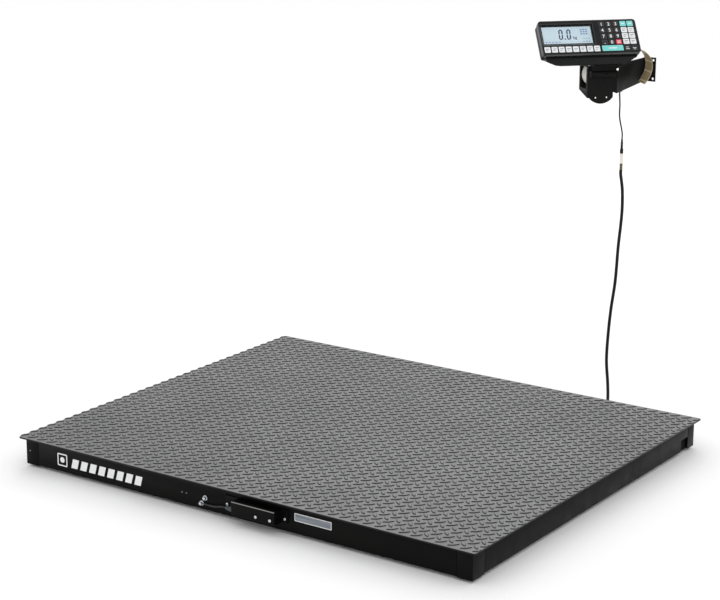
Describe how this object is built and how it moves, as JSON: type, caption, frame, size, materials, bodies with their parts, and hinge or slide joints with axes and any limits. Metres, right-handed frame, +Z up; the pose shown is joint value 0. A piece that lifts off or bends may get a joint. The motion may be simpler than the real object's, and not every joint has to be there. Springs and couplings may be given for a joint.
{
  "type": "platform shipping scale",
  "caption": "Low checker-plate floor scale on load cells and levelling feet, with a wall bracket that carries a tilting weighing terminal and its label roll.",
  "frame": {"origin": "bottom centre of the object's box, on the floor", "axes": "+X along the deck's long front edge, +Y from the front face towards the wall, +Z up"},
  "size_m": [1.2, 1.1836, 0.9693],
  "materials": {
    "deck": "satin enamel",
    "frame": "satin powder coat",
    "steel": "bright zinc",
    "cell": "satin nickel",
    "foot": "matt",
    "case": "fine grain",
    "nylon": "satin",
    "plate": "brushed",
    "paper": "matt",
    "liner": "silicone coated",
    "card": "matt",
    "window": "gloss",
    "lcd": "satin",
    "film": "satin overlay",
    "board": "solder resist",
    "lead": "satin jacket",
    "cable": "ribbed sheath",
    "nickel": "nickel plated"
  },
  "bodies": {
    "platform": {"deck_plate": "deck", "front_channel": "frame", "rear_channel": "frame", "left_channel": "frame", "right_channel": "frame", "corner_post_front_left": "frame", "corner_post_front_right": "frame", "corner_post_rear_left": "frame", "corner_post_rear_right": "frame", "cross_beam_left": "frame", "cross_beam_right": "frame", "cell_mount_front_left": "frame", "cell_mount_front_right": "frame", "cell_mount_rear_left": "frame", "cell_mount_rear_right": "frame", "load_cell_front_left": "cell", "load_cell_front_right": "cell", "load_cell_rear_left": "cell", "load_cell_rear_right": "cell", "junction_box": "plate", "junction_lid": "plate", "junction_guard": "frame", "guard_screw_1": "steel", "guard_screw_2": "steel", "flange_screw_left": "steel", "flange_screw_right": "steel", "earth_bolt_upper": "steel", "earth_bolt_lower": "steel", "lead_gland": "nylon", "earth_lead": "lead", "rating_plate": "plate", "rear_gland": "nylon", "home_run_cable": "cable", "wall_bracket": "frame", "hinge_pin": "steel", "roll_housing": "frame", "roll_spindle": "steel", "lead_clip": "nylon", "terminal_lead": "lead", "connector_plug": "nickel", "connector_socket": "nickel", "platform_cable": "cable"},
    "foot_front_left": {"levelling_foot_front_left": "foot"},
    "foot_front_right": {"levelling_foot_front_right": "foot"},
    "foot_rear_left": {"levelling_foot_rear_left": "foot"},
    "foot_rear_right": {"levelling_foot_rear_right": "foot"},
    "label_roll": {"roll_core": "card", "label_roll": "paper"},
    "terminal": {"tilt_cradle": "frame", "hinge_screw": "steel", "terminal_base": "case", "terminal_cover": "case", "display_window": "window", "lcd_module": "lcd", "keypad_film": "film", "main_board": "board", "printer_unit": "nylon", "label_strip": "liner"},
    "platen": {"platen_roller": "foot"}
  },
  "joints": [
    {"name": "foot_front_left_slide", "type": "slide", "parent": "platform", "child": "foot_front_left", "axis": [0, 0, -1], "range_m": [0, 0.01]},
    {"name": "foot_front_right_slide", "type": "slide", "parent": "platform", "child": "foot_front_right", "axis": [0, 0, -1], "range_m": [0, 0.01]},
    {"name": "foot_rear_left_slide", "type": "slide", "parent": "platform", "child": "foot_rear_left", "axis": [0, 0, -1], "range_m": [0, 0.01]},
    {"name": "foot_rear_right_slide", "type": "slide", "parent": "platform", "child": "foot_rear_right", "axis": [0, 0, -1], "range_m": [0, 0.01]},
    {"name": "terminal_tilt", "type": "hinge", "parent": "platform", "child": "terminal", "pos_m": [0.32037, 0.42019, 0.8475], "axis": [0.6691, 0.7431, 0], "range_deg": [0, 20]},
    {"name": "roll_spin", "type": "hinge", "parent": "platform", "child": "label_roll", "pos_m": [0.2899, 0.44224, 0.84], "axis": [0.7431, -0.6691, 0], "continuous": true},
    {"name": "platen_spin", "type": "hinge", "parent": "terminal", "child": "platen", "pos_m": [0.34016, 0.4858, 0.9005], "axis": [-0.7431, 0.6691, 0], "continuous": true}
  ],
  "couplings": [
    {"joint": "platen_spin", "follows": "roll_spin", "ratio": 5.6}
  ]
}
